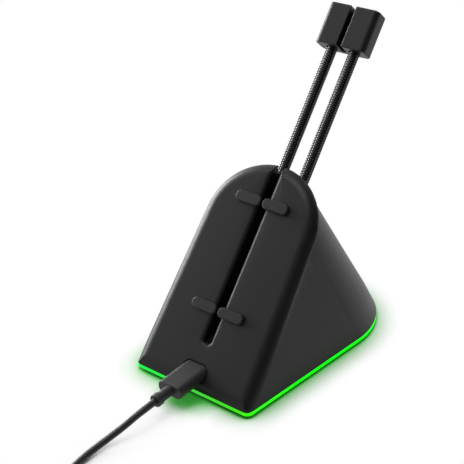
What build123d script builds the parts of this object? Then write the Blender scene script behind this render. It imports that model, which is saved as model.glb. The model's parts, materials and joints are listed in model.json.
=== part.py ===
"""Mouse bungee: a leaning wedge with a cable slot, two springy arms and a lit base ring.

Millimetres. The desk is z = 0, +Z is up, -Y is the side with the slot and the
lead, and +X is to the right seen from that side. The origin is on the desk,
midway between the front lip and the back of the head.
"""

import math
import os

from build123d import *

os.makedirs("parts", exist_ok=True)

# Housing: the sloped panel, its arched outline and the walls that spread behind it
front_width = 60.4
panel_lean = 39.5
panel_length = 101.5
arch_width = 54.4
base_front_width = 60.4
base_width = 76.4
base_depth = 115.4
lip_height = 3.2
lip_radius = 8.0
panel_edge_radius = 6.0
front_corner_radius = 3.0
wall = 2.0

# Stack under the housing, from the desk up
foot_height = 1.0
foot_recess = 0.4
flange = 0.6
ring_height = 1.6

# Light ring, board and lamps along the rim
ring_width = 7.8
guide_thickness = 1.5
plate_setback = 0.6
plate_gap = 0.2
board_rim_gap = 6.1
board_rim_width = 7.4
board_thickness = 1.2
lamp_count = 14
lamp_size = 1.6
lamp_height = 0.8
lamp_gap = 0.4

# Cable slot down the panel, and the soft tabs that close it
slot_width = 4.2
slot_depth = 7.4
slot_wall = 1.8
slot_foot = 17.0
slot_ramp = 9.0
slot_flare = 0.6
slot_brim = 1.0
slot_brim_slope = 20.0
tab_length = 12.8
tab_width = 4.8
tab_height = 1.9
tab_end_radius = 2.2
tab_edge_radius = 0.6
tab_centre = 6.9
tab_levels = {"lower": 31.6, "upper": 80.8}
tab_peg = 2.4
tab_peg_depth = 1.4

# Arms and the head that grips the mouse lead
arm_lean = 38.6
arm_spacing = 11.4
arm_drop = 15.51
arm_diameter = 5.2
arm_free_length = 60.67
arm_root_depth = 21.0
arm_grip = 14.0
spring_diameter = 3.0
head_width = 25.0
head_front = 5.7
head_back = 4.2
head_height = 19.1
head_corner_radius = 2.8
head_edge_radius = 0.5
head_gap = 2.5
head_gap_depth = 7.2

# Holder that clamps the arm roots inside the housing
holder_width = 30.0
holder_depth = 9.6
holder_height = 16.0
holder_corner_radius = 1.0
arm_pad_depth = 8.0
holder_screw_spacing = 22.6
holder_screw_bite = 5.0

# Socket, plug and lead
plug_height = 9.7
plug_width = 12.2
plug_thickness = 5.8
plug_corner = 2.6
plug_reach = 13.0
plug_edge_radius = 0.5
pocket_gap = 0.35
pocket_depth = 9.0
pocket_wall = 1.5
plug_seat_gap = 0.4
neck_diameter = 4.7
neck_length = 6.5
bead_diameter = 5.6
bead_length = 2.6
plug_shell_width = 8.25
plug_shell_height = 2.4
plug_shell_length = 6.4
plug_shell_wall = 0.3
socket_width = 8.94
socket_height = 3.26
socket_wall = 0.27
socket_length = 7.4
socket_back = 1.0
tongue_width = 6.7
tongue_thickness = 0.7
tongue_length = 4.4
cable_diameter = 3.0
arc_share = 0.45

# Base plate fittings
boss_diameter = 7.0
base_screw_diameter = 2.6
base_screw_head = 5.0
base_screw_head_height = 1.4
base_screw_length = 12.0
boss_inset = 14.0
boss_shares = (0.19, 0.62)
post_diameter = 5.0
small_screw_diameter = 2.0
small_screw_head = 3.8
small_screw_head_height = 1.3
small_screw_length = 4.0
foot_length = 17.0
foot_width = 8.0
foot_corner_radius = 3.0
foot_inset = 16.0
foot_shares = (0.125, 0.78)
ballast_margin = 18.5
ballast_front = 31.0
ballast_thickness = 5.0
ballast_screw_shares = (0.2, 0.8)
usb_board_width = 28.0
usb_board_depth = 22.0
usb_post_x = 10.5
side_post_share = 0.5
chip_size = 6.0
chip_height = 1.0
chip_edge = 0.1

# Put-away length of the lead
coil_diameter = 36.0
coil_columns = 4
coil_rows = 3
coil_edge = 0.75
coil_x = 21.0
coil_distance = 74.9
tie_thickness = 0.6
tie_width = 6.0
far_plug_length = 28.0
far_plug_width = 16.0
far_plug_height = 9.0
far_plug_corner = 2.5
far_neck_length = 6.0
far_neck_diameter = 5.0
far_shell_length = 18.5
far_shell_width = 12.0
far_shell_height = 4.5
far_shell_wall = 0.4
far_tongue_width = 10.6
far_tongue_height = 1.9
far_tongue_setback = 1.5
tail_length = 14.0

# Clearances
running_gap = 0.1
sliding_gap = 0.3

# Heights and places that follow from the sizes above
flange_top = foot_height + flange
ring_top = flange_top + ring_height
lip_top = ring_top + lip_height
lean = math.radians(panel_lean)
panel_normal = Vector(0, -math.cos(lean), math.sin(lean))
panel_up = Vector(0, math.sin(lean), math.cos(lean))
arm_turn = math.radians(arm_lean)
arm_axis = Vector(0, math.sin(arm_turn), math.cos(arm_turn))
arm_rear = Vector(0, math.cos(arm_turn), -math.sin(arm_turn))
crown_rise = panel_up * panel_length
ridge = (Vector(0, base_depth, -lip_height) - crown_rise).normalized()
exit_rise = crown_rise + ridge * arm_drop
head_reach = exit_rise + arm_axis * (arm_free_length + head_height) + arm_rear * head_back
front_y = -max(head_reach.Y, base_depth) / 2
lip_corner = Vector(0, front_y, lip_top)
base_plane = Plane(origin=(0, front_y, 0))
panel = Plane(origin=lip_corner, x_dir=(1, 0, 0), z_dir=panel_normal)
arm_exit = lip_corner + exit_rise
arm_plane = Plane(origin=arm_exit, x_dir=(1, 0, 0), z_dir=arm_axis)
arm_sides = {"left": -arm_spacing / 2, "right": arm_spacing / 2}
slot_end = slot_foot - slot_width / 2
slot_top = panel_length + slot_depth
slot_side = Plane(origin=lip_corner, x_dir=panel_up, z_dir=(1, 0, 0))

board_top = plug_height - socket_height / 2
board_bottom = board_top - board_thickness
pocket_back = front_y + pocket_depth
board_front = pocket_back + pocket_wall + sliding_gap
plug_front = pocket_back - plug_seat_gap
plug_end = front_y - plug_reach
lead_start = plug_end - neck_length - bead_length


def save(piece, name):
    """Label a finished piece and write its file."""
    piece.label = name
    export_step(piece, f"parts/{name}.step")


def facing_front(y):
    """Upright plane at y, level with the plug, whose outward side is the slot side."""
    return Plane(origin=(0, y, plug_height), x_dir=(1, 0, 0), z_dir=(0, -1, 0))


def side_turn(half_front, length, radius):
    """Angle by which the sides lean in, to run from the front corners into the round end."""
    centre = length - radius
    return math.acos(radius / math.hypot(half_front, centre)) - math.atan2(centre, half_front)


def side_at(half_front, length, radius, inset, y):
    """Half width at y of such an outline, drawn in by inset."""
    turn = side_turn(half_front, length, radius)
    return (radius - inset + (length - radius - y) * math.sin(turn)) / math.cos(turn)


def arched(half_front, length, radius, inset, front):
    """Outline with a straight front, a round end and sides tangent to it, drawn in by inset."""
    turn = side_turn(half_front, length, radius)
    corner = side_at(half_front, length, radius, inset, front)
    shoulder = Vector(math.cos(turn), math.sin(turn)) * (radius - inset) + Vector(0, length - radius)
    with BuildSketch() as shape:
        with BuildLine():
            Polyline((-shoulder.X, shoulder.Y), (-corner, front), (corner, front), (shoulder.X, shoulder.Y))
            ThreePointArc((shoulder.X, shoulder.Y), (0, length - inset), (-shoulder.X, shoulder.Y))
        make_face()
    return shape.sketch


base_sizes = (base_front_width / 2, base_depth, base_width / 2)
panel_sizes = (front_width / 2, panel_length, arch_width / 2)


def lip_corner_profile():
    """Side view of what the round of the lip takes off the corner above it."""
    reach = lip_radius * math.tan(lean / 2)
    low = Vector(front_y, lip_top - reach)
    high = Vector(front_y + reach * math.sin(lean), lip_top + reach * math.cos(lean))
    with BuildSketch() as shape:
        with BuildLine():
            Polyline(
                (high.X, high.Y), (low.X - lip_radius, high.Y), (low.X - lip_radius, low.Y), (low.X, low.Y)
            )
            TangentArc((low.X, low.Y), (high.X, high.Y), tangent=(0, 1))
        make_face()
    return shape.sketch


def corner_profile():
    """Plan of what the rounds of the two front corners take off the base."""
    turn = side_turn(*base_sizes)
    side = Vector(-math.sin(turn), math.cos(turn))
    outward = Vector(math.cos(turn), math.sin(turn)) * front_corner_radius
    corner = Vector(base_front_width / 2, 0)
    reach = front_corner_radius * math.tan((math.pi / 2 + turn) / 2)
    on_front = corner - Vector(reach, 0)
    on_side = corner + side * reach
    beyond = Vector(0, -front_corner_radius)
    with BuildSketch() as shape:
        with BuildLine():
            Polyline(on_front, on_front + beyond, corner + beyond + outward, on_side + outward, on_side)
            TangentArc(on_side, on_front, tangent=-side)
        make_face()
        mirror(about=Plane.YZ)
    return shape.sketch


def wedge(inset, rounded):
    """Body between the arched panel and the base, drawn in by inset on every side."""
    with BuildPart() as body:
        with BuildSketch(base_plane.offset(ring_top)):
            add(arched(*base_sizes, inset, inset))
        with BuildSketch(panel.offset(-inset)):
            add(arched(*panel_sizes, inset, inset * math.tan(lean / 2)))
        loft(ruled=True)
        fillet(body.edges().sort_by(Axis.Z)[-1], panel_edge_radius - inset)
        if rounded:
            with BuildSketch(Plane.YZ):
                add(lip_corner_profile())
            extrude(amount=front_width, both=True, mode=Mode.SUBTRACT)
            with BuildSketch(base_plane.offset(ring_top)):
                add(corner_profile())
            extrude(amount=lip_height + lip_radius, mode=Mode.SUBTRACT)
    return body.part


def rim(inset):
    """Outline of the base, drawn in by inset, its front corners round where the inset leaves a radius."""
    with BuildSketch() as outline:
        add(arched(*base_sizes, inset, inset))
        if inset < front_corner_radius:
            fillet(outline.vertices().sort_by(Axis.Y)[:2], front_corner_radius - inset)
    return outline.sketch


def beside(share, inset):
    """Mirrored pair of places at a share of the depth, inset from the base's sides."""
    y = share * base_depth
    x = side_at(*base_sizes, inset, y)
    return {"left": (-x, front_y + y), "right": (x, front_y + y)}


outer = wedge(0, rounded=True)
screw_places = [place for share in boss_shares for place in beside(share, boss_inset).values()]


def slot_profile(grow):
    """Side view of the slot, floor ramped up at the foot, grown by grow on every side."""
    with BuildSketch() as profile:
        with BuildLine():
            Polyline(
                (slot_end, 0), (slot_end, slot_depth), (slot_top, slot_depth),
                (slot_top, -slot_depth), (slot_end + slot_ramp, -slot_depth),
            )
            TangentArc((slot_end + slot_ramp, -slot_depth), (slot_end, 0), tangent=(-1, 0))
        make_face()
        if grow:
            offset(amount=grow, kind=Kind.INTERSECTION)
    return profile.sketch


# Slot cutter: a round-ended groove with a flared mouth and a soft brim
with BuildPart() as slot_cutter:
    with BuildSketch(panel):
        with Locations((0, (slot_foot + slot_top) / 2)):
            SlotOverall(slot_top - slot_foot + slot_width, slot_width, rotation=90)
    extrude(amount=slot_depth, both=True)
    with BuildSketch(slot_side):
        add(slot_profile(0))
    extrude(amount=slot_width, both=True, mode=Mode.INTERSECT)
    mouth_width = slot_width + 2 * slot_flare
    brim_width = mouth_width + 2 * slot_brim
    brim_depth = slot_brim * math.tan(math.radians(slot_brim_slope))
    with BuildSketch(panel.offset(-brim_depth)):
        with Locations((0, (slot_foot + slot_top) / 2)):
            SlotOverall(slot_top - slot_foot + mouth_width, mouth_width, rotation=90)
    extrude(amount=-slot_flare, taper=45)
    with BuildSketch(panel):
        with Locations((0, (slot_foot + slot_top) / 2)):
            SlotOverall(slot_top - slot_foot + brim_width, brim_width, rotation=90)
    extrude(amount=-brim_depth, taper=90 - slot_brim_slope)

# Inner space of the housing: all that isn't wall, channel, pocket, boss or arm pad
pocket_width = plug_width + 2 * pocket_gap
pocket_height = plug_thickness + 2 * pocket_gap
with BuildPart() as cavity:
    add(wedge(wall, rounded=False))
    with BuildSketch(slot_side):
        add(slot_profile(slot_wall))
    extrude(amount=slot_width / 2 + slot_wall, both=True, mode=Mode.SUBTRACT)
    with BuildSketch(facing_front(pocket_back + pocket_wall)):
        Rectangle(pocket_width + 2 * pocket_wall, pocket_height + 2 * pocket_wall)
    extrude(amount=pocket_depth + pocket_wall, mode=Mode.SUBTRACT)
    with BuildSketch(Plane.XY.offset(ring_top)):
        with Locations(*screw_places):
            Circle(boss_diameter / 2)
    extrude(amount=panel_length, mode=Mode.SUBTRACT)
    with BuildSketch(arm_plane.offset(-arm_pad_depth)):
        Rectangle(holder_width, holder_depth)
    extrude(amount=2 * arm_pad_depth, mode=Mode.SUBTRACT)

# Housing: one moulded shell with the slot, the plug pocket and the arm bores
peg_x = tab_centre + tab_length / 4
with BuildPart() as housing:
    add(outer)
    add(slot_cutter.part, mode=Mode.SUBTRACT)
    add(cavity.part, mode=Mode.SUBTRACT)
    with BuildSketch(facing_front(pocket_back)):
        RectangleRounded(pocket_width, pocket_height, plug_corner + pocket_gap)
    extrude(amount=2 * pocket_depth, mode=Mode.SUBTRACT)
    with BuildSketch(facing_front(pocket_back + pocket_wall)):
        RectangleRounded(socket_width + 2 * running_gap, socket_height + 2 * running_gap, socket_height / 2)
    extrude(amount=pocket_wall, mode=Mode.SUBTRACT)
    with BuildSketch(arm_plane.offset(-arm_pad_depth)):
        with Locations(*[(x, 0) for x in arm_sides.values()]):
            Circle(arm_diameter / 2 + running_gap)
    extrude(amount=2 * arm_pad_depth + holder_depth, mode=Mode.SUBTRACT)
    with BuildSketch(arm_plane.offset(-arm_pad_depth)):
        with GridLocations(holder_screw_spacing, 1, 2, 1):
            Circle(small_screw_diameter / 2 + running_gap)
    extrude(amount=holder_screw_bite + running_gap, mode=Mode.SUBTRACT)
    with BuildSketch(Plane.XY.offset(ring_top)):
        with Locations(*screw_places):
            Circle(base_screw_diameter / 2 + running_gap)
    extrude(amount=base_screw_length, mode=Mode.SUBTRACT)
    with BuildSketch(panel):
        with Locations(*[(side * peg_x, level) for level in tab_levels.values() for side in (-1, 1)]):
            Circle(tab_peg / 2 + running_gap)
    extrude(amount=-(tab_peg_depth + running_gap), mode=Mode.SUBTRACT)
save(housing.part, "housing")

# Cable tabs: four soft rubber fingers that reach over the slot, each on a peg in the panel
for row, level in tab_levels.items():
    for name, side in (("left", -1), ("right", 1)):
        with BuildPart() as tab:
            with BuildSketch(panel):
                with Locations((side * tab_centre, level)):
                    RectangleRounded(tab_length, tab_width, tab_end_radius)
            extrude(amount=tab_height)
            fillet(tab.faces().filter_by(panel).sort_by(Axis.Z)[-1].edges(), tab_edge_radius)
            with BuildSketch(panel):
                with Locations((side * peg_x, level)):
                    Circle(tab_peg / 2)
            extrude(amount=-tab_peg_depth)
        save(tab.part, f"cable_tab_{row}_{name}")

# Arms: a closely wound spring in a braided sleeve, from the holder up into the head
arm_length = arm_root_depth + arm_free_length + arm_grip
for name, x in arm_sides.items():
    with BuildPart() as sleeve:
        with BuildSketch(arm_plane.offset(-arm_root_depth)):
            with Locations((x, 0)):
                Circle(arm_diameter / 2)
                Circle(spring_diameter / 2 + running_gap, mode=Mode.SUBTRACT)
        extrude(amount=arm_length)
    save(sleeve.part, f"arm_sleeve_{name}")
    with BuildPart() as spring:
        with BuildSketch(arm_plane.offset(-arm_root_depth)):
            with Locations((x, 0)):
                Circle(spring_diameter / 2)
        extrude(amount=arm_length)
    save(spring.part, f"arm_spring_{name}")

# Arm holder: the block under the arm pad that grips both arm roots
with BuildPart() as arm_holder:
    with BuildSketch(arm_plane.offset(-arm_pad_depth)):
        RectangleRounded(holder_width, holder_depth, holder_corner_radius)
    extrude(amount=-holder_height)
    with BuildSketch(arm_plane.offset(-arm_root_depth)):
        with Locations(*[(x, 0) for x in arm_sides.values()]):
            Circle(arm_diameter / 2 + running_gap)
    extrude(amount=arm_root_depth, mode=Mode.SUBTRACT)
    with BuildSketch(arm_plane.offset(-arm_pad_depth)):
        with GridLocations(holder_screw_spacing, 1, 2, 1):
            Circle(small_screw_diameter / 2 + running_gap)
    extrude(amount=-holder_height, mode=Mode.SUBTRACT)
save(arm_holder.part, "arm_holder")

with BuildPart() as holder_screws:
    with BuildSketch(arm_plane.offset(-arm_pad_depth - holder_height)):
        with GridLocations(holder_screw_spacing, 1, 2, 1):
            Circle(small_screw_diameter / 2)
    extrude(amount=holder_height + holder_screw_bite)
    with BuildSketch(arm_plane.offset(-arm_pad_depth - holder_height)):
        with GridLocations(holder_screw_spacing, 1, 2, 1):
            Circle(small_screw_head / 2)
    extrude(amount=-small_screw_head_height)
save(holder_screws.part, "arm_holder_screws")

# Head: one block on both arm tips, split by the gap that grips the mouse lead
with BuildPart() as head:
    with BuildSketch(arm_plane.offset(arm_free_length)):
        with Locations((0, (head_back - head_front) / 2)):
            RectangleRounded(head_width, head_front + head_back, head_corner_radius)
        gap_end = head_gap_depth - head_front - head_gap / 2
        with Locations((0, gap_end)):
            Circle(head_gap / 2, mode=Mode.SUBTRACT)
        with Locations((0, (gap_end - head_front - head_gap) / 2)):
            Rectangle(head_gap, gap_end + head_front + head_gap, mode=Mode.SUBTRACT)
    extrude(amount=head_height)
    fillet(head.faces().filter_by(arm_plane).edges(), head_edge_radius)
    with BuildSketch(arm_plane.offset(arm_free_length)):
        with Locations(*[(x, 0) for x in arm_sides.values()]):
            Circle(arm_diameter / 2 + running_gap)
    extrude(amount=arm_grip + running_gap, mode=Mode.SUBTRACT)
save(head.part, "cable_head")

# Base plate: a tray that carries the board, the ballast and the feet
guide_top = board_bottom - lamp_height - lamp_gap
post_inset = ring_width + plate_gap + sliding_gap + post_diameter / 2
usb_post_y = front_y + board_rim_gap + usb_board_depth - post_diameter
post_places = [
    (-usb_post_x, usb_post_y),
    (usb_post_x, usb_post_y),
    *beside(side_post_share, post_inset).values(),
    (0, front_y + base_depth - post_inset),
]
ballast_screw_places = [
    (0, front_y + ballast_front + share * (base_depth - ballast_front - ballast_margin))
    for share in ballast_screw_shares
]
foot_places = {
    f"{end}_{name}": place
    for end, share in zip(("front", "rear"), foot_shares)
    for name, place in beside(share, foot_inset).items()
}
with BuildPart() as base_plate:
    with BuildSketch(base_plane.offset(foot_height)):
        add(rim(plate_setback))
    extrude(amount=flange)
    with BuildSketch(base_plane.offset(flange_top)):
        add(rim(ring_width + plate_gap))
    extrude(amount=ring_height)
    with BuildSketch(Plane.XY.offset(ring_top)):
        with Locations(*post_places):
            Circle(post_diameter / 2)
    extrude(amount=board_bottom - ring_top)
    with BuildSketch(Plane.XY.offset(board_bottom)):
        with Locations(*post_places):
            Circle(small_screw_diameter / 2 + running_gap)
    extrude(amount=-small_screw_length, mode=Mode.SUBTRACT)
    with BuildSketch(Plane.XY.offset(foot_height)):
        with Locations(*ballast_screw_places):
            Circle(small_screw_diameter / 2 + running_gap)
    extrude(amount=ring_top, mode=Mode.SUBTRACT)
    with BuildSketch(Plane.XY.offset(foot_height)):
        with Locations(*ballast_screw_places):
            Circle(small_screw_head / 2 + running_gap)
    extrude(amount=small_screw_head_height, mode=Mode.SUBTRACT)
    with BuildSketch(Plane.XY.offset(foot_height)):
        with Locations(*screw_places):
            Circle(base_screw_diameter / 2 + running_gap)
    extrude(amount=board_bottom, mode=Mode.SUBTRACT)
    with BuildSketch(Plane.XY.offset(foot_height)):
        with Locations(*screw_places):
            Circle(base_screw_head / 2 + running_gap)
    extrude(amount=base_screw_head_height, mode=Mode.SUBTRACT)
    with BuildSketch(Plane.XY.offset(foot_height)):
        with Locations(*foot_places.values()):
            RectangleRounded(foot_length + 2 * running_gap, foot_width + 2 * running_gap, foot_corner_radius)
    extrude(amount=foot_recess, mode=Mode.SUBTRACT)
save(base_plate.part, "base_plate")

for name, place in foot_places.items():
    with BuildPart() as foot:
        with BuildSketch():
            with Locations(place):
                RectangleRounded(foot_length, foot_width, foot_corner_radius)
        extrude(amount=foot_height + foot_recess)
    save(foot.part, f"foot_{name}")

with BuildPart() as base_screws:
    with BuildSketch(Plane.XY.offset(foot_height)):
        with Locations(*screw_places):
            Circle(base_screw_head / 2)
    extrude(amount=base_screw_head_height)
    with BuildSketch(Plane.XY.offset(foot_height)):
        with Locations(*screw_places):
            Circle(base_screw_diameter / 2)
    extrude(amount=base_screw_length)
save(base_screws.part, "base_screws")

# Light ring: a clear band round the base with an upstand that takes in the lamps' light
with BuildPart() as light_ring:
    with BuildSketch(base_plane.offset(flange_top)):
        add(rim(0))
        add(rim(ring_width), mode=Mode.SUBTRACT)
    extrude(amount=ring_height)
    with BuildSketch(base_plane.offset(ring_top)):
        add(rim(ring_width - guide_thickness))
        add(rim(ring_width), mode=Mode.SUBTRACT)
        with Locations((0, pocket_depth / 2)):
            Rectangle(pocket_width + 2 * pocket_wall + 2 * sliding_gap, pocket_depth, mode=Mode.SUBTRACT)
    extrude(amount=guide_top - ring_top)
save(light_ring.part, "light_ring")

# Circuit board: a loop over the light ring, with the socket's tongue of board at the front
with BuildPart() as circuit_board:
    with BuildSketch(base_plane.offset(board_bottom)):
        add(rim(board_rim_gap))
        add(rim(board_rim_gap + board_rim_width), mode=Mode.SUBTRACT)
        with Locations((0, board_rim_gap + usb_board_depth / 2)):
            Rectangle(usb_board_width, usb_board_depth)
        with Locations((0, (board_front - front_y) / 2)):
            Rectangle(
                pocket_width + 2 * pocket_wall + 2 * sliding_gap, board_front - front_y, mode=Mode.SUBTRACT
            )
    extrude(amount=board_thickness)
    with BuildSketch(Plane.XY.offset(board_bottom)):
        with Locations(*screw_places):
            Circle(boss_diameter / 2 + sliding_gap)
        with Locations(*post_places):
            Circle(small_screw_diameter / 2 + running_gap)
    extrude(amount=board_thickness, mode=Mode.SUBTRACT)
save(circuit_board.part, "circuit_board")

with BuildPart() as board_screws:
    with BuildSketch(Plane.XY.offset(board_top)):
        with Locations(*post_places):
            Circle(small_screw_head / 2)
    extrude(amount=small_screw_head_height)
    with BuildSketch(Plane.XY.offset(board_top)):
        with Locations(*post_places):
            Circle(small_screw_diameter / 2)
    extrude(amount=-small_screw_length)
save(board_screws.part, "board_screws")

# Lamps: side by side under the board, over the ring's upstand, clear of the pocket
lamp_line = rim(ring_width - guide_thickness / 2).face().outer_wire()
lamp_places = [lamp_line.position_at((i + 0.5) / lamp_count) for i in range(lamp_count)]
beside_pocket = pocket_width / 2 + pocket_wall + lamp_size
with BuildPart() as lamps:
    with BuildSketch(base_plane.offset(board_bottom)):
        with Locations(*[(p.X, p.Y) for p in lamp_places if p.Y > pocket_depth or abs(p.X) > beside_pocket]):
            Rectangle(lamp_size, lamp_size)
    extrude(amount=-lamp_height)
save(lamps.part, "leds")

with BuildPart() as controller_chip:
    with BuildSketch(Plane.XY.offset(board_top)):
        with Locations((0, usb_post_y)):
            Rectangle(chip_size, chip_size)
    extrude(amount=chip_height)
    chamfer(controller_chip.edges().group_by(Axis.Z)[-1], chip_edge)
save(controller_chip.part, "controller_chip")

# Ballast: a steel plate on the tray that keeps the stand still
with BuildPart() as ballast_plate:
    with BuildSketch(base_plane.offset(ring_top)):
        add(arched(*base_sizes, ballast_margin, ballast_front))
    extrude(amount=ballast_thickness)
    with BuildSketch(Plane.XY.offset(ring_top)):
        with Locations(*screw_places):
            Circle(boss_diameter / 2 + sliding_gap)
        with Locations(*ballast_screw_places):
            Circle(small_screw_diameter / 2 + running_gap)
    extrude(amount=ballast_thickness, mode=Mode.SUBTRACT)
save(ballast_plate.part, "ballast_plate")

with BuildPart() as ballast_screws:
    with BuildSketch(Plane.XY.offset(foot_height)):
        with Locations(*ballast_screw_places):
            Circle(small_screw_head / 2)
    extrude(amount=small_screw_head_height)
    with BuildSketch(Plane.XY.offset(foot_height)):
        with Locations(*ballast_screw_places):
            Circle(small_screw_diameter / 2)
    extrude(amount=ring_top + ballast_thickness - foot_height)
save(ballast_screws.part, "ballast_screws")

# Socket: a metal shell on the board, nose through the pocket's back, with a contact tongue
socket_front = pocket_back + running_gap
socket_rear = socket_front + socket_length
tongue_root = socket_rear - socket_wall - socket_back
with BuildSketch() as socket_inside:
    socket_corner = socket_height / 2 - 2 * socket_wall
    RectangleRounded(socket_width - 2 * socket_wall, socket_height - 2 * socket_wall, socket_corner)
with BuildPart() as socket_shell:
    with BuildSketch(facing_front(socket_rear)):
        RectangleRounded(socket_width, socket_height, socket_corner + socket_wall)
    extrude(amount=socket_length)
    with BuildSketch(facing_front(socket_rear - socket_wall)):
        add(socket_inside.sketch)
    extrude(amount=socket_length, mode=Mode.SUBTRACT)
save(socket_shell.part, "usb_socket_shell")

with BuildPart() as socket_tongue:
    with BuildSketch(facing_front(tongue_root)):
        add(socket_inside.sketch)
    extrude(amount=-socket_back)
    with BuildSketch(facing_front(tongue_root)):
        Rectangle(tongue_width, tongue_thickness)
    extrude(amount=tongue_length)
save(socket_tongue.part, "usb_socket_tongue")

# Plug: a moulded grip with a neck and a bead, on a metal shell that goes into the socket
with BuildPart() as plug:
    with BuildSketch(facing_front(plug_front)):
        RectangleRounded(plug_width, plug_thickness, plug_corner)
    extrude(amount=plug_front - plug_end)
    fillet(plug.faces().filter_by(Axis.Y).edges(), plug_edge_radius)
    with BuildSketch(facing_front(plug_end)):
        Circle(neck_diameter / 2)
    extrude(amount=neck_length + bead_length)
    with BuildSketch(facing_front(plug_end - neck_length)):
        Circle(bead_diameter / 2)
    extrude(amount=bead_length)
    fillet(plug.faces().filter_by(Axis.Y).sort_by(Axis.Y)[:1].edges(), plug_edge_radius)
save(plug.part, "usb_c_plug")

with BuildPart() as plug_shell:
    with BuildSketch(facing_front(plug_front)):
        RectangleRounded(plug_shell_width, plug_shell_height, plug_shell_height / 2 - plug_shell_wall)
        RectangleRounded(
            plug_shell_width - 2 * plug_shell_wall, plug_shell_height - 2 * plug_shell_wall,
            plug_shell_height / 2 - 2 * plug_shell_wall, mode=Mode.SUBTRACT,
        )
    extrude(amount=-plug_shell_length)
save(plug_shell.part, "usb_c_plug_shell")

# Lead: from the plug's bead down to the desk and out to the coil
coil_radius = coil_diameter / 2
coil_outside = coil_radius + coil_columns * cable_diameter / 2
outer_turn = coil_outside - cable_diameter / 2
coil_left = coil_x - outer_turn
coil_centre = (coil_x, lead_start - coil_distance)
low_row = tie_thickness + cable_diameter / 2
on_desk = cable_diameter / 2
lead_route = [
    (0, lead_start, plug_height),
    (0, lead_start - 5.4, plug_height),
    (-1.0, lead_start - 10.5, 8.6),
    (-2.8, lead_start - 16.1, 5.9),
    (-5.1, lead_start - 22.7, 3.3),
    (-6.5, lead_start - 30.2, 1.8),
    (-6.3, lead_start - 39.0, on_desk),
    (-4.5, lead_start - 48.7, on_desk),
    (-2.3, lead_start - 59.2, on_desk + 0.3),
    (coil_left, lead_start - 70.9, low_row),
]


def tube(route):
    """Round lead along straight runs joined by arcs as large as the runs allow."""
    points = [Vector(*point) for point in route]
    runs = [b - a for a, b in zip(points, points[1:])]
    radii = [
        arc_share * min(a.length, b.length) / math.tan(math.radians(a.get_angle(b)) / 2)
        for a, b in zip(runs, runs[1:])
    ]
    with BuildPart() as lead:
        with BuildLine() as path:
            FilletPolyline(*points, radius=radii)
        with BuildSketch(Plane(origin=points[0], z_dir=runs[0])):
            Circle(cable_diameter / 2)
        sweep()
    length = path.wires()[0].length
    print("radii", [round(radius) for radius in radii], "length", round(length, 1))
    print("volume", round(lead.part.volume, 1), "of", round(math.pi / 4 * cable_diameter**2 * length, 1))
    return lead.part


save(tube(lead_route), "usb_cable")

# Put-away length: a flat coil held by a tie, with the computer end beside it
coil_height = coil_rows * cable_diameter
with BuildPart() as coil:
    with BuildSketch(Plane.XY.offset(tie_thickness)):
        with Locations(coil_centre):
            Circle(coil_outside)
            Circle(2 * coil_radius - coil_outside, mode=Mode.SUBTRACT)
    extrude(amount=coil_height)
    chamfer(coil.edges(), coil_edge)
save(coil.part, "cable_coil")

tie_room = coil_columns * cable_diameter + 2 * sliding_gap
with BuildPart() as tie:
    with BuildSketch(Plane.XZ.offset(-coil_centre[1])):
        with Locations((coil_centre[0] + coil_radius - sliding_gap, tie_thickness + coil_height / 2)):
            RectangleRounded(
                tie_room + 2 * tie_thickness, coil_height + 2 * tie_thickness, cable_diameter / 2
            )
            RectangleRounded(tie_room, coil_height, cable_diameter / 2 - tie_thickness, mode=Mode.SUBTRACT)
    extrude(amount=tie_width / 2, both=True)
save(tie.part, "cable_tie")

far_start = Vector(coil_left, coil_centre[1], far_plug_height / 2)
far_side = Plane(origin=far_start, x_dir=(1, 0, 0), z_dir=(0, -1, 0))
far_neck = far_side.offset(tail_length)
far_grip = far_neck.offset(far_neck_length)
far_nose = far_grip.offset(far_plug_length)
with BuildPart() as cable_tail:
    with BuildSketch(far_side):
        Circle(cable_diameter / 2)
    extrude(amount=tail_length)
save(cable_tail.part, "cable_tail")

with BuildPart() as far_plug:
    with BuildSketch(far_neck):
        Circle(far_neck_diameter / 2)
    extrude(amount=far_neck_length)
    with BuildSketch(far_grip):
        RectangleRounded(far_plug_width, far_plug_height, far_plug_corner)
    extrude(amount=far_plug_length)
    fillet(far_plug.faces().filter_by(Axis.Y).sort_by(Axis.Y)[:-1].edges(), plug_edge_radius)
save(far_plug.part, "usb_a_plug")

with BuildPart() as far_shell:
    with BuildSketch(far_nose):
        Rectangle(far_shell_width, far_shell_height)
        offset(amount=-far_shell_wall, mode=Mode.SUBTRACT)
    extrude(amount=far_shell_length)
save(far_shell.part, "usb_a_shell")

with BuildPart() as far_tongue:
    with BuildSketch(far_nose):
        with Locations((0, far_shell_wall + far_tongue_height / 2 - far_shell_height / 2)):
            Rectangle(far_tongue_width, far_tongue_height)
    extrude(amount=far_shell_length - far_tongue_setback)
save(far_tongue.part, "usb_a_tongue")
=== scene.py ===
import json
import math

import bpy
from mathutils import Matrix, Vector

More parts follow.
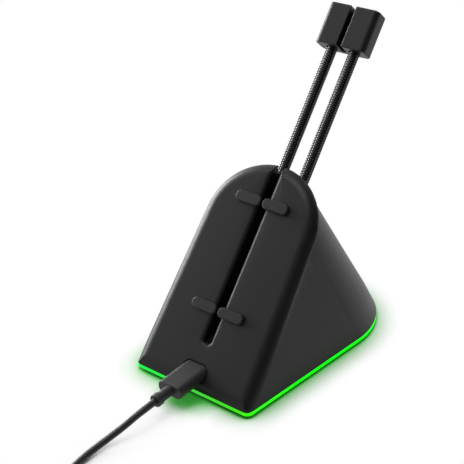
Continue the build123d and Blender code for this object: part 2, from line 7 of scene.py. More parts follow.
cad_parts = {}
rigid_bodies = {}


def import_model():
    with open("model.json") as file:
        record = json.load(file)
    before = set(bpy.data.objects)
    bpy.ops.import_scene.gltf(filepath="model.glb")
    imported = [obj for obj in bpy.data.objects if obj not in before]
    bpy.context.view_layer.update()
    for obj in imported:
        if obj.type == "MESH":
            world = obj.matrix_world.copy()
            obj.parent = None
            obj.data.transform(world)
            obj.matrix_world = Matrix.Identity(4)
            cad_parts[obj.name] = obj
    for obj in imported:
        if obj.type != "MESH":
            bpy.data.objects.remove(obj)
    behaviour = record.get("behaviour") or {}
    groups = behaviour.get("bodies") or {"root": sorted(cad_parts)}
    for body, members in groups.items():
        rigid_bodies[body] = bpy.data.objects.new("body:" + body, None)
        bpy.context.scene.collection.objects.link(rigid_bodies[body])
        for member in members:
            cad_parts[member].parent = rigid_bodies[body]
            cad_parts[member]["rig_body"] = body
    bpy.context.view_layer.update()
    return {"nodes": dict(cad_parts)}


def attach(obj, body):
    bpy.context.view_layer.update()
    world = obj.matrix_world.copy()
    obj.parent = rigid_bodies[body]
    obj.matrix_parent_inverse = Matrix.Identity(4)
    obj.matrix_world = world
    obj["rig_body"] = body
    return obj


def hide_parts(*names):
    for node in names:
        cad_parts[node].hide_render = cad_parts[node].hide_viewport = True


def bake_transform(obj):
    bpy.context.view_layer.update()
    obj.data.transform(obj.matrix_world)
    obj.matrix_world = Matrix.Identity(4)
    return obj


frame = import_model()
bpy.context.scene.view_settings.view_transform = "Standard"


# HOUSING
# One injection moulding in black plastic with a soft-touch coat, hollow, 2 mm thick. Its panel
# leans back and carries the slot, and its lip holds the plug pocket. It is screwed to the base
# plate from below.
sharp_from = math.radians(32)
same_point = 1e-6


def smooth_curves(piece):
    """Shade the curves smooth and keep the edges crisp."""
    bpy.ops.object.shade_smooth_by_angle(angle=sharp_from)
    even = piece.modifiers.new("even_shading", "WEIGHTED_NORMAL")
    even.keep_sharp = True
    bpy.ops.object.modifier_apply(modifier=even.name)


def skinned(node, name, finish):
    """The node's solid as one closed skin, with its curves smooth and its edges crisp."""
    piece = bpy.data.objects.new(name, frame["nodes"][node].data.copy())
    bpy.context.scene.collection.objects.link(piece)
    bpy.ops.object.select_all(action="DESELECT")
    bpy.context.view_layer.objects.active = piece
    piece.select_set(True)
    bpy.ops.mesh.customdata_custom_splitnormals_clear()
    bpy.ops.object.mode_set(mode="EDIT")
    bpy.ops.mesh.select_all(action="SELECT")
    bpy.ops.mesh.remove_doubles(threshold=same_point)
    bpy.ops.object.mode_set(mode="OBJECT")
    smooth_curves(piece)
    piece.data.materials.clear()
    piece.data.materials.append(finish)
    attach(piece, frame["nodes"][node]["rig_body"])
    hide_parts(node)
    return piece


def new_finish(name):
    """A new material, with its nodes and its links."""
    finish = bpy.data.materials.new(name)
    finish.use_nodes = True
    return finish, finish.node_tree.nodes, finish.node_tree.links


# A mix node's sockets for colours: its share, the two colours, and what comes out.
mix_share, mix_first, mix_second, mix_out = 0, 6, 7, 2


def moulded_finish(name, tone, edge_highlight_tone, roughness, specular, grain_size, grain_depth, edge):
    """A moulding: eroded grain, a faintly uneven coat, and a painted highlight on its edges."""
    darker, lighter = 0.86, 1.14
    uneven_gloss = 0.07
    finish, nodes, links = new_finish(name)
    surface = nodes["Principled BSDF"]
    surface.inputs["Specular IOR Level"].default_value = specular
    place = nodes.new("ShaderNodeTexCoord")

    # An edge is where the rounded normal turns away from the flat one.
    rounded = nodes.new("ShaderNodeBevel")
    rounded.samples = 6
    rounded.inputs["Radius"].default_value = edge
    plain = nodes.new("ShaderNodeNewGeometry")
    turned = nodes.new("ShaderNodeVectorMath")
    turned.operation = "DOT_PRODUCT"
    links.new(rounded.outputs["Normal"], turned.inputs[0])
    links.new(plain.outputs["Normal"], turned.inputs[1])
    edge_highlight_share = nodes.new("ShaderNodeMapRange")
    edge_highlight_share.inputs["From Min"].default_value = 0.995
    edge_highlight_share.inputs["From Max"].default_value = 0.75
    links.new(turned.outputs["Value"], edge_highlight_share.inputs["Value"])

    coat = nodes.new("ShaderNodeTexNoise")
    coat.inputs["Scale"].default_value = 55
    coat.inputs["Detail"].default_value = 5
    links.new(place.outputs["Object"], coat.inputs["Vector"])
    tones = nodes.new("ShaderNodeValToRGB")
    tones.color_ramp.elements[0].position = 0.3
    tones.color_ramp.elements[0].color = [*(darker * c for c in tone), 1]
    tones.color_ramp.elements[1].position = 0.7
    tones.color_ramp.elements[1].color = [*(lighter * c for c in tone), 1]
    links.new(coat.outputs["Fac"], tones.inputs["Fac"])
    # Near an edge the colour is painted lighter, in the edge tone: a painted highlight along the
    # rim.
    edge_highlight = nodes.new("ShaderNodeMix")
    edge_highlight.data_type = "RGBA"
    edge_highlight.inputs[mix_second].default_value = [*edge_highlight_tone, 1]
    links.new(edge_highlight_share.outputs["Result"], edge_highlight.inputs[mix_share])
    links.new(tones.outputs["Color"], edge_highlight.inputs[mix_first])
    links.new(edge_highlight.outputs[mix_out], surface.inputs["Base Color"])

    grain = nodes.new("ShaderNodeTexNoise")
    grain.inputs["Scale"].default_value = 1 / grain_size
    grain.inputs["Detail"].default_value = 3
    links.new(place.outputs["Object"], grain.inputs["Vector"])
    dull = nodes.new("ShaderNodeMapRange")
    dull.inputs["To Min"].default_value = roughness - uneven_gloss
    dull.inputs["To Max"].default_value = roughness + uneven_gloss
    links.new(grain.outputs["Fac"], dull.inputs["Value"])
    links.new(dull.outputs["Result"], surface.inputs["Roughness"])
    relief = nodes.new("ShaderNodeBump")
    relief.inputs["Strength"].default_value = 0.6
    relief.inputs["Distance"].default_value = grain_depth
    links.new(grain.outputs["Fac"], relief.inputs["Height"])
    links.new(rounded.outputs["Normal"], relief.inputs["Normal"])
    links.new(relief.outputs["Normal"], surface.inputs["Normal"])
    return finish


soft_touch_black = moulded_finish(
    "soft_touch_black", tone=(0.0060, 0.0060, 0.0061), edge_highlight_tone=(0.012, 0.012, 0.0122),
    roughness=0.42, specular=0.23, grain_size=0.00022, grain_depth=0.000008, edge=0.0007,
)
housing = skinned("housing", "moulded_housing", soft_touch_black)

# Behind the panel's rounded edge the shell drops in a step, deepest at the crown and shallower on
# the flanks. The skin is cut at both ends of the step and let down behind it. The slot's foot is
# raised, less and less further up the slot.
panel_foot = Vector((0, -0.062909, 0.0064))
panel_normal = Vector((0, -0.7716, 0.6361))
panel_up = Vector((0, 0.6361, 0.7716))
crease_start, crease_end = 0.0038, 0.0050
crease_foot, crease_top = 0.015, 0.080
crown_step, flank_step = 0.0029, 0.0012
crown_reach, flank_reach = 0.012, 0.026
slot_reach, slot_floor = 0.00385, 0.0094
foot_low, foot_full, foot_high = 0.012, 0.018, 0.028
foot_rise = 0.002
bpy.ops.object.mode_set(mode="EDIT")
for depth in (crease_start, crease_end):
    bpy.ops.mesh.select_all(action="SELECT")
    bpy.ops.mesh.bisect(plane_co=panel_foot - panel_normal * depth, plane_no=panel_normal)
bpy.ops.object.mode_set(mode="OBJECT")
for v in housing.data.vertices:
    depth = (panel_foot - v.co).dot(panel_normal)
    height = (v.co - panel_foot).dot(panel_up)
    if abs(v.co.x) < slot_reach and depth < slot_floor and foot_low < height < foot_high:
        v.co += panel_up * foot_rise * min((foot_high - height) / (foot_high - foot_full), 1)
    behind = min(max((depth - crease_start) / (crease_end - crease_start), 0), 1)
    step = behind * max(v.co.z - crease_foot, 0) / (crease_top - crease_foot)
    aside = min(max((abs(v.co.x) - crown_reach) / (flank_reach - crown_reach), 0), 1)
    v.co -= panel_up * crown_step * step
    v.co.x -= math.copysign(flank_step * step * aside, v.co.x)
smooth_curves(housing)


# TABS
# Four small rubber tongues, moulded separately and pushed into the panel in two pairs. Each reaches
# over the slot, so that a lead pressed under it stays in, and has a rounded edge all round.
tab_rubber = moulded_finish(
    "tab_rubber", tone=(0.009, 0.009, 0.0093), edge_highlight_tone=(0.024, 0.024, 0.0245),
    roughness=0.5, specular=0.25, grain_size=0.0003, grain_depth=0.000012, edge=0.0004,
)
for spot in ("lower_left", "lower_right", "upper_left", "upper_right"):
    tab = skinned(f"cable_tab_{spot}", f"rubber_tab_{spot}", tab_rubber)


# ARM SLEEVES
# Each arm has a sleeve braided from black nylon, with eight flat yarns laid each way, over two and
# under two. It runs from the holder in the housing up into the head. In use it bends as the head is
# pulled; here it is built straight.
arm_exit = Vector((0, 0.009858, 0.071563))
arm_axis = Vector((0, 0.6239, 0.7815)).normalized()
arm_offset = 0.0057
arm_root_depth = 0.021
arm_free_length = 0.06067
arm_grip = 0.014
arm_length = arm_root_depth + arm_free_length + arm_grip
yarns_each_way = 8
braid_radius = 0.00224
braid_angle = math.radians(57)
yarn_width = 0.00076
yarn_thickness = 0.0003
yarn_sides = 6
yarn_rise = yarn_thickness / 2 / math.sin(math.pi / 4)
strand_sharp_from = math.radians(70)
# One subdivide makes 100 cuts at most, so a yarn is cut into lengths first, and then into bends.
lengths = 20
wound = arm_length * math.tan(braid_angle) / braid_radius
crossings = lengths * round(wound * yarns_each_way / math.pi / lengths)
bends_per_crossing = 3
braid_turn = crossings * math.pi / yarns_each_way


def braid_yarn(way, odd):
    """One flat yarn, wound round the upright axis, over two crossings and under two."""
    bpy.ops.object.select_all(action="DESELECT")
    bpy.ops.mesh.primitive_cylinder_add(
        vertices=yarn_sides,
        radius=yarn_width / 2,
        depth=arm_length,
        location=(0, 0, arm_length / 2),
        rotation=(0, 0, math.pi / yarn_sides),
    )
    yarn = bpy.context.object
    bpy.ops.object.transform_apply(location=True, rotation=True, scale=False)
    bpy.ops.object.mode_set(mode="EDIT")
    bpy.ops.mesh.select_all(action="SELECT")
    bpy.ops.transform.resize(value=(yarn_thickness / yarn_width, 1, 1))
    for parts in (lengths, bends_per_crossing * crossings // lengths):
        bpy.ops.mesh.select_mode(type="EDGE")
        bpy.ops.mesh.select_all(action="DESELECT")
        bpy.ops.object.mode_set(mode="OBJECT")
        for edge in yarn.data.edges:
            a, b = (yarn.data.vertices[i].co for i in edge.vertices)
            edge.select = abs(a.z - b.z) > yarn_thickness
        bpy.ops.object.mode_set(mode="EDIT")
        bpy.ops.mesh.subdivide(number_cuts=parts - 1)
    bpy.ops.object.mode_set(mode="OBJECT")
    upward = Vector((0, 0, 1))
    for v in yarn.data.vertices:
        share = v.co.z / arm_length
        turn = way * share * braid_turn
        over = math.sin(share * crossings * math.pi / 2 + way * (math.pi * odd + math.pi / 4))
        outward = Vector((math.cos(turn), math.sin(turn), 0))
        around = upward.cross(outward) * way
        forward = around * math.sin(braid_angle) + upward * math.cos(braid_angle)
        sideways = forward.cross(outward)
        reach = braid_radius + yarn_rise * over + v.co.x
        v.co = outward * reach + sideways * v.co.y + upward * v.co.z
    return yarn


braid_nylon, nodes, links = new_finish("braid_nylon")
surface = nodes["Principled BSDF"]
surface.inputs["Specular IOR Level"].default_value = 0.6
place = nodes.new("ShaderNodeTexCoord")
fibres = nodes.new("ShaderNodeTexNoise")
fibres.inputs["Scale"].default_value = 6500
fibres.inputs["Detail"].default_value = 2
links.new(place.outputs["Object"], fibres.inputs["Vector"])
fibre_tones = nodes.new("ShaderNodeValToRGB")
fibre_tones.color_ramp.elements[0].position = 0.35
fibre_tones.color_ramp.elements[0].color = (0.0010, 0.0010, 0.0010, 1)
fibre_tones.color_ramp.elements[1].position = 0.7
fibre_tones.color_ramp.elements[1].color = (0.0035, 0.0035, 0.0036, 1)
links.new(fibres.outputs["Fac"], fibre_tones.inputs["Fac"])
links.new(fibre_tones.outputs["Color"], surface.inputs["Base Color"])
fibre_gloss = nodes.new("ShaderNodeMapRange")
fibre_gloss.inputs["To Min"].default_value = 0.14
fibre_gloss.inputs["To Max"].default_value = 0.24
links.new(fibres.outputs["Fac"], fibre_gloss.inputs["Value"])
links.new(fibre_gloss.outputs["Result"], surface.inputs["Roughness"])
strands = nodes.new("ShaderNodeBump")
strands.inputs["Strength"].default_value = 0.15
strands.inputs["Distance"].default_value = 0.00003
links.new(fibres.outputs["Fac"], strands.inputs["Height"])
links.new(strands.outputs["Normal"], surface.inputs["Normal"])

yarns = []
yarn_turn = 2 * math.pi / yarns_each_way
for way in (1, -1):
    for odd in (0, 1):
        yarn = braid_yarn(way, odd)
        yarn.data.transform(Matrix.Rotation(odd * yarn_turn, 4, "Z"))
        yarns.append(yarn)
        for pair in range(1, yarns_each_way // 2):
            bpy.ops.object.select_all(action="DESELECT")
            yarn.select_set(True)
            bpy.context.view_layer.objects.active = yarn
            bpy.ops.object.duplicate()
            bpy.context.object.data.transform(Matrix.Rotation(2 * pair * yarn_turn, 4, "Z"))
            yarns.append(bpy.context.object)
bpy.ops.object.select_all(action="DESELECT")
for yarn in yarns:
    yarn.select_set(True)
bpy.context.view_layer.objects.active = yarns[0]
bpy.ops.object.join()
braid = bpy.context.object
bpy.ops.object.shade_smooth_by_angle(angle=strand_sharp_from)
braid.data.materials.clear()
braid.data.materials.append(braid_nylon)

to_arm = Vector((0, 0, 1)).rotation_difference(arm_axis).to_matrix().to_4x4()
for side, name in ((-1, "left"), (1, "right")):
    root = arm_exit - arm_axis * arm_root_depth + Vector((side * arm_offset, 0, 0))
    sleeve = bpy.data.objects.new(f"braided_sleeve_{name}", braid.data.copy())
    bpy.context.scene.collection.objects.link(sleeve)
    sleeve.data.transform(Matrix.Translation(root) @ to_arm)
    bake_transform(sleeve)
    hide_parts(f"arm_sleeve_{name}")
bpy.data.objects.remove(braid)


# ARM SPRINGS
# Inside each sleeve is a closely wound spring of black steel wire, which gives when the mouse pulls
# and brings the head back. Its foot is clamped in the holder and its top is moulded into the head.
spring_radius = 0.0015
wire_thickness = 0.00075
wire_sides = 7
wire_seam = 1e-7
spring_pitch = 0.00078
steps_per_turn = 14
bpy.ops.object.select_all(action="DESELECT")
bpy.ops.mesh.primitive_circle_add(
    vertices=wire_sides,
    radius=wire_thickness / 2,
    fill_type="NOTHING",
    location=(spring_radius - wire_thickness / 2, 0, 0),
    rotation=(math.pi / 2, 0, 0),
)
spring = bpy.context.object
bpy.ops.object.transform_apply(location=True, rotation=True, scale=False)
winding = spring.modifiers.new("winding", "SCREW")
winding.screw_offset = spring_pitch
winding.iterations = int((arm_length - wire_thickness) / spring_pitch)
winding.steps = steps_per_turn
winding.render_steps = steps_per_turn
bpy.ops.object.modifier_apply(modifier=winding.name)
bpy.ops.object.mode_set(mode="EDIT")
bpy.ops.mesh.select_all(action="SELECT")
bpy.ops.mesh.remove_doubles(threshold=wire_seam)
bpy.ops.mesh.fill_holes(sides=0)
bpy.ops.mesh.normals_make_consistent(inside=False)
bpy.ops.object.mode_set(mode="OBJECT")
bpy.ops.object.shade_smooth_by_angle(angle=strand_sharp_from)


def metal_finish(name, tone, roughness, streaks):
    """Bare or plated metal: fine drawn streaks along one direction, and a faint uneven tone."""
    darker, lighter = 0.85, 1.1
    uneven_gloss = 0.06
    finish, nodes, links = new_finish(name)
    surface = nodes["Principled BSDF"]
    surface.inputs["Metallic"].default_value = 1
    place = nodes.new("ShaderNodeTexCoord")
    drawn = nodes.new("ShaderNodeMapping")
    drawn.inputs["Scale"].default_value = streaks
    links.new(place.outputs["Object"], drawn.inputs["Vector"])
    lines = nodes.new("ShaderNodeTexNoise")
    lines.inputs["Scale"].default_value = 1
    lines.inputs["Detail"].default_value = 3
    links.new(drawn.outputs["Vector"], lines.inputs["Vector"])
    tones = nodes.new("ShaderNodeValToRGB")
    tones.color_ramp.elements[0].color = [*(darker * c for c in tone), 1]
    tones.color_ramp.elements[1].color = [*(lighter * c for c in tone), 1]
    links.new(lines.outputs["Fac"], tones.inputs["Fac"])
    links.new(tones.outputs["Color"], surface.inputs["Base Color"])
    dull = nodes.new("ShaderNodeMapRange")
    dull.inputs["To Min"].default_value = roughness - uneven_gloss
    dull.inputs["To Max"].default_value = roughness + uneven_gloss
    links.new(lines.outputs["Fac"], dull.inputs["Value"])
    links.new(dull.outputs["Result"], surface.inputs["Roughness"])
    relief = nodes.new("ShaderNodeBump")
    relief.inputs["Strength"].default_value = 0.3
    relief.inputs["Distance"].default_value = 0.000005
    links.new(lines.outputs["Fac"], relief.inputs["Height"])
    links.new(relief.outputs["Normal"], surface.inputs["Normal"])
    return finish


spring_steel = metal_finish(
    "blackened_spring_steel", tone=(0.012, 0.012, 0.013), roughness=0.45, streaks=(900, 900, 4000)
)
spring.data.materials.append(spring_steel)
first_turn = wire_thickness / 2 - arm_root_depth
for side, name in ((-1, "left"), (1, "right")):
    root = arm_exit + arm_axis * first_turn + Vector((side * arm_offset, 0, 0))
    arm_spring = bpy.data.objects.new(f"wound_spring_{name}", spring.data.copy())
    bpy.context.scene.collection.objects.link(arm_spring)
    arm_spring.data.transform(Matrix.Translation(root) @ to_arm)
    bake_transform(arm_spring)
    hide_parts(f"arm_spring_{name}")
bpy.data.objects.remove(spring)


# HEAD
# A block of firm black rubber, moulded onto both arm tips in one piece. The narrow gap between its
# two lobes is where the lead of a mouse is pressed in and held.
head_rubber = moulded_finish(
    "head_rubber", tone=(0.0070, 0.0070, 0.0072), edge_highlight_tone=(0.02, 0.02, 0.0205),
    roughness=0.4, specular=0.26, grain_size=0.00025, grain_depth=0.00001, edge=0.001,
)
head = skinned("cable_head", "lead_head", head_rubber)


# ARM HOLDER AND SCREWS
# A black plastic block inside the housing, under the rear slope. It clamps both arm roots, and two
# screws hold it to the housing's pad. The screws seen from outside are blackened steel, and those
# inside are zinc plated.
inner_black = moulded_finish(
    "inner_black", tone=(0.022, 0.022, 0.022), edge_highlight_tone=(0.03, 0.03, 0.03),
    roughness=0.55, specular=0.5, grain_size=0.0005, grain_depth=0.00002, edge=0.0003,
)
holder = skinned("arm_holder", "arm_clamp", inner_black)
screw_steel = metal_finish(
    "zinc_screw_steel", tone=(0.5, 0.5, 0.52), roughness=0.34, streaks=(600, 600, 3000)
)
black_screw_steel = metal_finish(
    "blackened_screw_steel", tone=(0.02, 0.02, 0.021), roughness=0.42, streaks=(600, 600, 3000)
)
for node, steel in (
    ("arm_holder_screws", black_screw_steel),
    ("board_screws", screw_steel),
    ("ballast_screws", screw_steel),
    ("base_screws", black_screw_steel),
):
    screws = skinned(node, node.replace("_screws", "_screw_set"), steel)


# BASE PLATE AND FEET
# The floor of the stand, moulded in black plastic with posts for the board and a flange under the
# light ring. Four rubber feet are glued into shallow recesses, and four screws go up into the
# housing.
base_black = moulded_finish(
    "base_black", tone=(0.016, 0.016, 0.016), edge_highlight_tone=(0.03, 0.03, 0.03),
    roughness=0.62, specular=0.45, grain_size=0.0006, grain_depth=0.00004, edge=0.0004,
)
base = skinned("base_plate", "moulded_base", base_black)
foot_rubber = moulded_finish(
    "foot_rubber", tone=(0.025, 0.025, 0.026), edge_highlight_tone=(0.05, 0.05, 0.05),
    roughness=0.75, specular=0.3, grain_size=0.0007, grain_depth=0.00006, edge=0.0004,
)
for spot in ("front_left", "front_right", "rear_left", "rear_right"):
    foot = skinned(f"foot_{spot}", f"rubber_foot_{spot}", foot_rubber)


# LIGHT RING
# A loop of milky acrylic between the base plate and the housing. The lamps shine down into its flat
# top inside the stand, and it glows green along its outer edge, a little less where the plug's
# socket takes their room. Its glow is also painted stronger on the right than on the left, and
# painted shade deepens the dip at the front middle.
ring_half_width = 0.0382
ring_glow, nodes, links = new_finish("ring_glow")
surface = nodes["Principled BSDF"]
surface.inputs["Roughness"].default_value = 0.35
surface.inputs["Specular IOR Level"].default_value = 0.06
surface.inputs["Base Color"].default_value = (0.002, 0.04, 0.003, 1)
surface.inputs["Emission Strength"].default_value = 9
place = nodes.new("ShaderNodeTexCoord")
apart = nodes.new("ShaderNodeSeparateXYZ")
links.new(place.outputs["Object"], apart.inputs["Vector"])
along = nodes.new("ShaderNodeMapRange")
along.inputs["From Min"].default_value = -ring_half_width
along.inputs["From Max"].default_value = ring_half_width
links.new(apart.outputs["X"], along.inputs["Value"])
# The glow's colour along the ring is painted uneven: painted light on the right, and painted shade
# added at the front middle, where the socket also takes the lamps' room.
glow_with_painted_light = nodes.new("ShaderNodeValToRGB")
glow_with_painted_light.color_ramp.elements[0].position = 0.1
glow_with_painted_light.color_ramp.elements[0].color = (0.0003, 0.105, 0.009, 1)
glow_with_painted_light.color_ramp.elements[1].position = 0.95
glow_with_painted_light.color_ramp.elements[1].color = (0.0002, 0.17, 0.0004, 1)
middle = glow_with_painted_light.color_ramp.elements.new(0.55)
middle.color = (0.007, 0.075, 0.006, 1)
corner = glow_with_painted_light.color_ramp.elements.new(0.84)
corner.color = (0.007, 0.09, 0.0005, 1)
links.new(along.outputs["Result"], glow_with_painted_light.inputs["Fac"])
links.new(glow_with_painted_light.outputs["Color"], surface.inputs["Emission Color"])
ring = skinned("light_ring", "lit_ring", ring_glow)


# BOARD, LAMPS AND CHIP
# A dark green circuit board in a loop over the ring, screwed to the base plate's posts. Thirteen
# lamps under it shine down into the ring, and one chip at the front runs them.
board_mask = moulded_finish(
    "board_mask", tone=(0.01, 0.035, 0.015), edge_highlight_tone=(0.05, 0.04, 0.02),
    roughness=0.35, specular=0.5, grain_size=0.0004, grain_depth=0.00001, edge=0.0002,
)
board = skinned("circuit_board", "lamp_board", board_mask)
lamp_resin = moulded_finish(
    "lamp_resin", tone=(0.75, 0.75, 0.7), edge_highlight_tone=(0.8, 0.8, 0.75),
    roughness=0.3, specular=0.5, grain_size=0.0003, grain_depth=0.00001, edge=0.0002,
)
lamps = skinned("leds", "lamp_set", lamp_resin)
chip_resin = moulded_finish(
    "chip_resin", tone=(0.015, 0.015, 0.016), edge_highlight_tone=(0.03, 0.03, 0.03),
    roughness=0.5, specular=0.5, grain_size=0.0002, grain_depth=0.00001, edge=0.0002,
)
chip = skinned("controller_chip", "control_chip", chip_resin)


# BALLAST
# A plain plate cut from rolled steel, which keeps the stand from being pulled over. Two screws hold
# it down on the base plate.
ballast_steel = metal_finish(
    "rolled_ballast_steel", tone=(0.35, 0.34, 0.33), roughness=0.45, streaks=(3000, 250, 3000)
)
ballast = skinned("ballast_plate", "ballast", ballast_steel)


# SOCKET
# The small flat socket for the lead's plug, soldered to the board behind the pocket in the lip.
# Its shell is plated steel, and the black plastic tongue inside carries the contacts.
plated_steel = metal_finish(
    "plated_steel", tone=(0.42, 0.42, 0.43), roughness=0.3, streaks=(400, 3500, 3500)
)
contact_black = moulded_finish(
    "contact_black", tone=(0.012, 0.012, 0.012), edge_highlight_tone=(0.02, 0.02, 0.02),
    roughness=0.4, specular=0.5, grain_size=0.0002, grain_depth=0.00001, edge=0.0001,
)
socket = skinned("usb_socket_shell", "socket_shell", plated_steel)
tongue = skinned("usb_socket_tongue", "socket_tongue", contact_black)


# PLUG
# The lead's small plug: a matte dark grey grip with rounded corners, a neck and a bead moulded on
# in one, and a plated shell that goes into the socket.
grip_grey = moulded_finish(
    "grip_grey", tone=(0.016, 0.016, 0.0163), edge_highlight_tone=(0.034, 0.034, 0.0345),
    roughness=0.48, specular=0.38, grain_size=0.00025, grain_depth=0.000015, edge=0.0005,
)
plug = skinned("usb_c_plug", "small_plug", grip_grey)
plug_shell = skinned("usb_c_plug_shell", "small_plug_shell", plated_steel)


# FAR PLUG
# The plug on the lead's other end: a flat grip with a neck, moulded over the lead in the same grey.
# Its plated shell is folded from sheet, and a black tongue inside carries the contacts.
far_plug = skinned("usb_a_plug", "large_plug", grip_grey)
far_shell = skinned("usb_a_shell", "large_plug_shell", plated_steel)
far_tongue = skinned("usb_a_tongue", "large_plug_tongue", contact_black)


# TIE
# A strip of black hook-and-loop tape, wrapped round the turns of the coil. It keeps the lead's
# spare length together.
tie_tape = moulded_finish(
    "tie_tape", tone=(0.012, 0.012, 0.013), edge_highlight_tone=(0.03, 0.03, 0.03),
    roughness=0.85, specular=0.2, grain_size=0.0009, grain_depth=0.0002, edge=0.0002,
)
tie = skinned("cable_tie", "coil_tie", tie_tape)


# LEAD
# A smooth dark grey round lead, 3 mm thick. It leaves the plug's bead, drops to the table and runs
# out to the lower left. Its spare length lies in a neat coil of eleven turns in a tie, and it ends
# in the far plug.
lead_thickness = 0.003
lead_route = [
    (0, -0.085009, 0.0097),
    (0, -0.090409, 0.0097),
    (-0.0010, -0.095509, 0.0086),
    (-0.0028, -0.101109, 0.0059),
    (-0.0051, -0.107709, 0.0033),
    (-0.0065, -0.115209, 0.0018),
    (-0.0063, -0.124009, 0.0015),
    (-0.0045, -0.133709, 0.0015),
    (-0.0023, -0.144209, 0.0018),
    (-0.0015, -0.155909, 0.0021),
]
lead_tail = [(-0.0015, -0.1625, 0.0050), (-0.0015, -0.1680, 0.0046), (-0.0015, -0.1744, 0.0045)]

# The coil's turns lie in columns, from the outside in, and in rows, from the table up. Each turn
# has its own column and row, in the order laid, and steps over to the next within a few degrees.
coil_x, coil_y = 0.021, -0.159909
coil_turns = 11
columns = (0.0225, 0.0195, 0.0165, 0.0135)
rows = (0.0021, 0.0051, 0.0081)
laid = [
    (0, 0), (1, 0), (2, 0), (3, 0), (3, 1), (3, 2),
    (2, 2), (2, 1), (1, 1), (1, 2), (0, 2), (0, 1),
]
first_angle = 180
last_angle = first_angle + 360 * coil_turns
angle_step = 12
step_over = 22
turn_angle = 360 - step_over
points = list(lead_route)
for angle in range(first_angle, last_angle + 1, angle_step):
    turned = (angle - first_angle) / turn_angle
    turn = min(int(turned + step_over / 2 / turn_angle), len(laid) - 1)
    crossed = (turned - turn) * turn_angle / step_over + 0.5
    share = min(max(crossed, 0), 1) if turn else 1
    share = share * share * (3 - 2 * share)
    before, after = laid[max(turn - 1, 0)], laid[turn]
    radius = columns[before[0]] * (1 - share) + columns[after[0]] * share
    height = rows[before[1]] * (1 - share) + rows[after[1]] * share
    radius /= math.cos(math.radians(angle_step / 2))
    points.append((
        coil_x + radius * math.cos(math.radians(angle)),
        coil_y + radius * math.sin(math.radians(angle)),
        height,
    ))
points += lead_tail

lead_line = bpy.data.curves.new("lead", "CURVE")
lead_line.dimensions = "3D"
line = lead_line.splines.new("NURBS")
line.points.add(len(points) - 1)
for spot, point in zip(line.points, points):
    spot.co = (*point, 1)
line.order_u = 3
line.use_endpoint_u = True
line.resolution_u = 6
lead_line.bevel_depth = lead_thickness / 2
lead_line.bevel_resolution = 4
lead_line.use_fill_caps = True
lead = bpy.data.objects.new("lead", lead_line)
bpy.context.scene.collection.objects.link(lead)
lead_jacket = moulded_finish(
    "lead_jacket", tone=(0.012, 0.012, 0.0125), edge_highlight_tone=(0.02, 0.02, 0.02),
    roughness=0.42, specular=0.4, grain_size=0.0004, grain_depth=0.00001, edge=0.0003,
)
lead_line.materials.append(lead_jacket)
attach(lead, "stand")
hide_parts("usb_cable", "cable_coil", "cable_tail")


# STUDIO
# A white floor that runs out of sight and a white surround that is dark on the camera's right, with
# a soft lamp overhead and one on the left for the bright edges. The camera stands where the
# photograph was taken from.
def combined(nodes, links, operation, first, second):
    """Two values taken together by a math node."""
    both = nodes.new("ShaderNodeMath")
    both.operation = operation
    links.new(first, both.inputs[0])
    links.new(second, both.inputs[1])
    return both.outputs["Value"]


def looked_at(nodes, links, path):
    """1 where the camera looks, straight, in a mirror or through something clear, or else 0."""
    seen = combined(
        nodes, links, "MAXIMUM", path.outputs["Is Camera Ray"], path.outputs["Is Glossy Ray"]
    )
    return combined(nodes, links, "MAXIMUM", seen, path.outputs["Is Transmission Ray"])


bpy.ops.object.select_all(action="DESELECT")
bpy.ops.mesh.primitive_plane_add(size=6)
floor = bpy.context.object
floor.name = "studio_floor"
floor_white, nodes, links = new_finish("floor_white")
nodes.remove(nodes["Principled BSDF"])
# Close to the object the floor is paper, lit by the lamps and the ring. From the lip back its
# colour is painted dark green: a painted glow of the ring, with painted shade.
paper = nodes.new("ShaderNodeBsdfDiffuse")
place = nodes.new("ShaderNodeTexCoord")
apart = nodes.new("ShaderNodeSeparateXYZ")
links.new(place.outputs["Object"], apart.inputs["Vector"])
painted_glow_zone = nodes.new("ShaderNodeMapRange")
painted_glow_zone.inputs["From Min"].default_value = -0.08
painted_glow_zone.inputs["From Max"].default_value = -0.072
links.new(apart.outputs["Y"], painted_glow_zone.inputs["Value"])
# The green paper colour is painted glow and painted shade, not the paper's own colour.
painted_glow_and_shade = nodes.new("ShaderNodeMix")
painted_glow_and_shade.data_type = "RGBA"
painted_glow_and_shade.inputs[mix_first].default_value = (0.8, 0.8, 0.8, 1)
painted_glow_and_shade.inputs[mix_second].default_value = (0.07, 0.5, 0.07, 1)
links.new(painted_glow_zone.outputs["Result"], painted_glow_and_shade.inputs[mix_share])
links.new(painted_glow_and_shade.outputs[mix_out], paper.inputs["Color"])
# Further off it is clean white to the camera.
clean = nodes.new("ShaderNodeEmission")
clean.inputs["Strength"].default_value = 1
near = nodes.new("ShaderNodeAmbientOcclusion")
near.samples = 16
near.inputs["Distance"].default_value = 0.0125
open_floor = nodes.new("ShaderNodeMapRange")
open_floor.inputs["From Min"].default_value = 0.5
open_floor.inputs["From Max"].default_value = 0.97
links.new(near.outputs["AO"], open_floor.inputs["Value"])
path = nodes.new("ShaderNodeLightPath")
white_here = combined(
    nodes, links, "MULTIPLY", looked_at(nodes, links, path), open_floor.outputs["Result"]
)
blend = nodes.new("ShaderNodeMixShader")
links.new(white_here, blend.inputs["Fac"])
links.new(paper.outputs["BSDF"], blend.inputs[1])
links.new(clean.outputs["Emission"], blend.inputs[2])
links.new(blend.outputs["Shader"], nodes["Material Output"].inputs["Surface"])
floor.data.materials.append(floor_white)

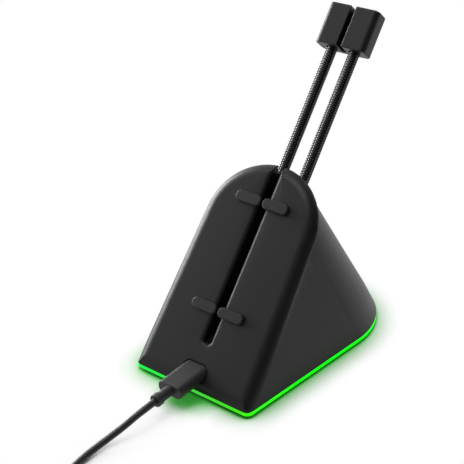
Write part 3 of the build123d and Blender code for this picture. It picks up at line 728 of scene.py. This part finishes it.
dark_side = Vector((0.80, -0.12, 0.42)).normalized()
surround = bpy.data.worlds.new("surround")
surround.use_nodes = True
bpy.context.scene.world = surround
nodes, links = surround.node_tree.nodes, surround.node_tree.links
soft = nodes["Background"]
soft.inputs["Color"].default_value = (1, 1, 1, 1)
soft.inputs["Strength"].default_value = 0.4
white = nodes.new("ShaderNodeBackground")
white.inputs["Color"].default_value = (1, 1, 1, 1)
path = nodes.new("ShaderNodeLightPath")
heading = nodes.new("ShaderNodeTexCoord")
towards = nodes.new("ShaderNodeVectorMath")
towards.operation = "DOT_PRODUCT"
towards.inputs[1].default_value = dark_side
links.new(heading.outputs["Generated"], towards.inputs[0])
dark_room = nodes.new("ShaderNodeMapRange")
dark_room.interpolation_type = "SMOOTHSTEP"
dark_room.inputs["From Min"].default_value = 0.15
dark_room.inputs["From Max"].default_value = 0.8
dark_room.inputs["To Max"].default_value = 0.9
links.new(towards.outputs["Value"], dark_room.inputs["Value"])
mirrored_room = combined(
    nodes, links, "MULTIPLY", dark_room.outputs["Result"], path.outputs["Is Glossy Ray"]
)
left_white = nodes.new("ShaderNodeMath")
left_white.operation = "SUBTRACT"
left_white.inputs[0].default_value = 1
links.new(mirrored_room, left_white.inputs[1])
links.new(left_white.outputs["Value"], white.inputs["Strength"])
choose = nodes.new("ShaderNodeMixShader")
links.new(looked_at(nodes, links, path), choose.inputs["Fac"])
links.new(soft.outputs["Background"], choose.inputs[1])
links.new(white.outputs["Background"], choose.inputs[2])
links.new(choose.outputs["Shader"], nodes["World Output"].inputs["Surface"])


def studio_lamp(name, place, aim, width, height, power):
    """A soft rectangular lamp at a place, turned towards a point."""
    light = bpy.data.lights.new(name, "AREA")
    light.shape = "RECTANGLE"
    light.size = width
    light.size_y = height
    light.energy = power
    fixture = bpy.data.objects.new(name, light)
    bpy.context.scene.collection.objects.link(fixture)
    fixture.location = place
    fixture.rotation_euler = (Vector(aim) - Vector(place)).to_track_quat("-Z", "Y").to_euler()


studio_lamp(
    "overhead", place=(-0.1, -0.1, 0.9), aim=(0, 0, 0.05), width=0.45, height=0.45, power=3
)
studio_lamp(
    "left_strip", place=(-0.6, 0, 0.17), aim=(0, 0, 0.06), width=0.5, height=0.32, power=7
)

eye = bpy.data.cameras.new("photograph")
eye.lens = 85.34
eye.sensor_width = 36
eye.clip_start = 0.01
camera = bpy.data.objects.new("photograph", eye)
bpy.context.scene.collection.objects.link(camera)
camera.location = (0.23864, -0.34690, 0.28446)
camera.rotation_euler = (math.radians(60.837), math.radians(0.2725), math.radians(37.116))
bpy.context.scene.camera = camera
